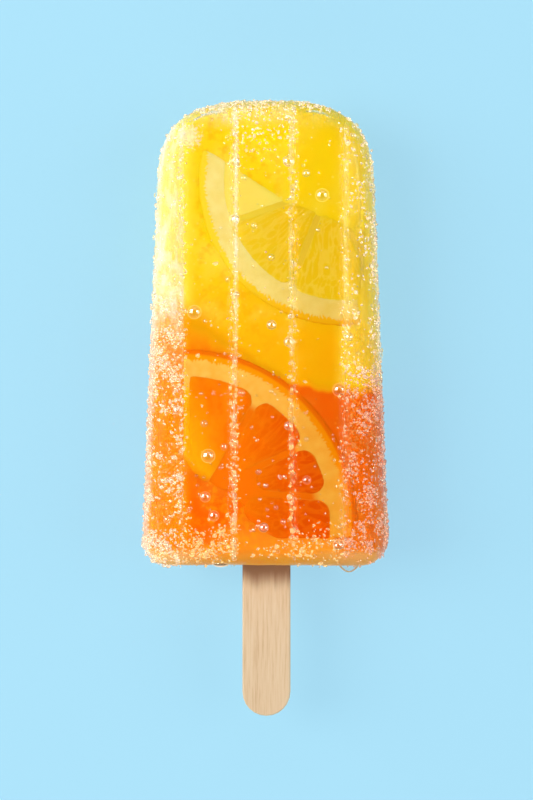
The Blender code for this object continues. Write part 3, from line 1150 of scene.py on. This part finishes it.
beads = gathered(
    "water_beads",
    ball("bead", 8, 5),
    np.concatenate((bead_places, side_places, rib_places)),
    np.concatenate((bead_outs, side_outs, rib_outs)),
    bead_sizes.clip(0.00016, 0.0008),
    squash=0.7, sink=0.15, ruffle=0.0,
)
water = water_finish("melt water", 1.25, 1.6, 0.90, shade(196, 172, 128))
dress(beads, water)

# Single drops, by their place on the front and their radius in millimetres.
drop_list = (
    (-11.4, 22.6, 1.45), (-14.3, 52.2, 1.45), (12.0, 76.2, 1.4), (5.2, 83.1, 1.2),
    (5.2, 92.2, 0.9), (8.7, 80.7, 0.8), (-6.1, 83.3, 1.2), (-6.1, 71.2, 1.2),
    (15.5, 36.2, 1.4), (1.7, 49.5, 1.0), (5.2, 46.0, 1.0), (5.2, 28.8, 0.9),
    (-17.6, 32.0, 1.0), (-12.0, 14.2, 1.1), (-10.2, 10.3, 1.1), (0.1, 8.0, 1.0),
    (8.9, 17.7, 0.9), (17.5, 47.0, 0.9), (15.4, 4.6, 1.2),
)
drop_places, drop_outs, drop_sizes = [], [], []
for x, y, size in drop_list:
    start = lay @ Vector((x / 1000, y / 1000, 0.03))
    _, place, out, _ = clear_ice.ray_cast(start, -(lay.to_3x3() @ Vector((0, 0, 1))))
    drop_places.append(np.array(place))
    drop_outs.append(out)
    drop_sizes.append(size / 1000)
drops = gathered(
    "melt_drops", ball("drop", 32, 16), drop_places, drop_outs, drop_sizes,
    squash=0.80, sink=0.10, ruffle=0.0,
)
dress(drops, water_finish("drop water", 1.40, 2.0, 0.95, shade(220, 188, 140)))
for piece in (rime, beads, drops):
    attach(piece, "root")

# Melt water that has run down and hangs from the base.
hanging = []
for x, z, width, out, thick in (
    (0.0172, -0.0015, 0.0024, 0.0021, 0.0009),
    (-0.0090, 0.0085, 0.0018, 0.0007, 0.0018),
):
    drop = ball("hanging", 48, 24)
    for vertex in drop.data.vertices:
        below = max(-vertex.co.y, 0)
        pinch = 1 - 0.22 * below * below
        vertex.co = (
            x + width * vertex.co.x * pinch,
            0.0004 + out * vertex.co.y * (1.15 if vertex.co.y < 0 else 0.8),
            z + thick * vertex.co.z * pinch,
        )
    drop.data.transform(lay)
    bpy.ops.object.shade_smooth()
    hanging.append(drop)
hanging_drops = joined(hanging, "hanging_drops")
dress(hanging_drops, water)
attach(hanging_drops, "root")
for piece in (beads, drops, hanging_drops):
    piece.visible_diffuse = False


# The studio: a pale blue floor, a soft key lamp on the left, a weaker fill on the right and
# weak lamps beyond the two ends. The sky is bright at the horizon and dim straight above, so
# that the flat ice mirrors nothing. The sparkle lamps show only as glints on wet ice.
nothing_selected()
bpy.ops.mesh.primitive_plane_add(size=5, location=(0, 0, 0))
floor = named_piece("floor")
floor_paint, tree, shader = finish(
    "pale blue floor", Roughness=0.9, Base_Color=shade(94, 123, 130),
    Emission_Color=shade(168, 224, 252), Emission_Strength=0.75, Specular_IOR_Level=0.1,
)
dress(floor, floor_paint)

LAMP_TARGET = Vector((0, 0, 0.01))
WHITE = (1, 1, 1)
for name, place, width, height, watts, colour in (
    ("key", (-0.62, 0.12, 0.55), 0.5, 0.8, 6.6, (1.0, 0.99, 0.96)),
    ("top", (0.05, 0.75, 0.70), 0.8, 0.4, 1.4, WHITE),
    ("fill", (0.75, 0.05, 0.45), 0.6, 0.9, 4.2, (0.98, 0.99, 1.0)),
    ("low", (-0.15, -0.75, 0.35), 0.8, 0.4, 2.2, WHITE),
    ("sparkle", (-0.45, 0.35, 0.60), 0.24, 0.24, 8.0, (1.0, 0.90, 0.68)),
    ("sparkle", (0.50, 0.25, 0.60), 0.16, 0.16, 3.0, (1.0, 0.90, 0.68)),
):
    nothing_selected()
    bpy.ops.object.light_add(type="AREA", location=place)
    lamp = bpy.context.object
    lamp.name = name
    lamp.rotation_euler = (LAMP_TARGET - Vector(place)).to_track_quat("-Z", "Y").to_euler()
    lamp.data.shape = "RECTANGLE"
    lamp.data.size = width
    lamp.data.size_y = height
    lamp.data.energy = watts
    lamp.data.color = colour
    lamp.visible_glossy = name != "low"
    lamp.visible_diffuse = name != "sparkle"

world = bpy.data.worlds.new("studio")
bpy.context.scene.world = world
world.use_nodes = True
tree = world.node_tree
sky_place = put(tree, "ShaderNodeTexCoord").outputs["Generated"]
sky = ramp(
    put(tree, "ShaderNodeSeparateXYZ", {"Vector": sky_place}).outputs["Z"],
    (0.00, shade(236, 232, 222)),
    (0.35, shade(232, 226, 214)),
    (0.75, shade(110, 106, 98)),
    (1.00, shade(70, 67, 62)),
)
link(sky, tree.nodes["Background"].inputs["Color"])
tree.nodes["Background"].inputs["Strength"].default_value = 0.5
bpy.context.scene.view_settings.view_transform = "Standard"

# The camera looks down on the front, square to the pop's length, from a little to its right.
FRAME_HEIGHT = 0.1674
FRAME_MIDDLE = 0.0341  # from the base
CAMERA_DISTANCE = 0.55
CAMERA_TURN = math.radians(3.3)
SENSOR_WIDTH = 36
nothing_selected()
bpy.ops.object.camera_add()
camera = bpy.context.object
camera.matrix_world = (
    lay
    @ Matrix.Translation((0, FRAME_MIDDLE, 0))
    @ Matrix.Rotation(CAMERA_TURN, 4, "Y")
    @ Matrix.Translation((0, 0, CAMERA_DISTANCE))
)
camera.data.sensor_width = SENSOR_WIDTH
camera.data.lens = SENSOR_WIDTH * CAMERA_DISTANCE / FRAME_HEIGHT
bpy.context.scene.camera = camera
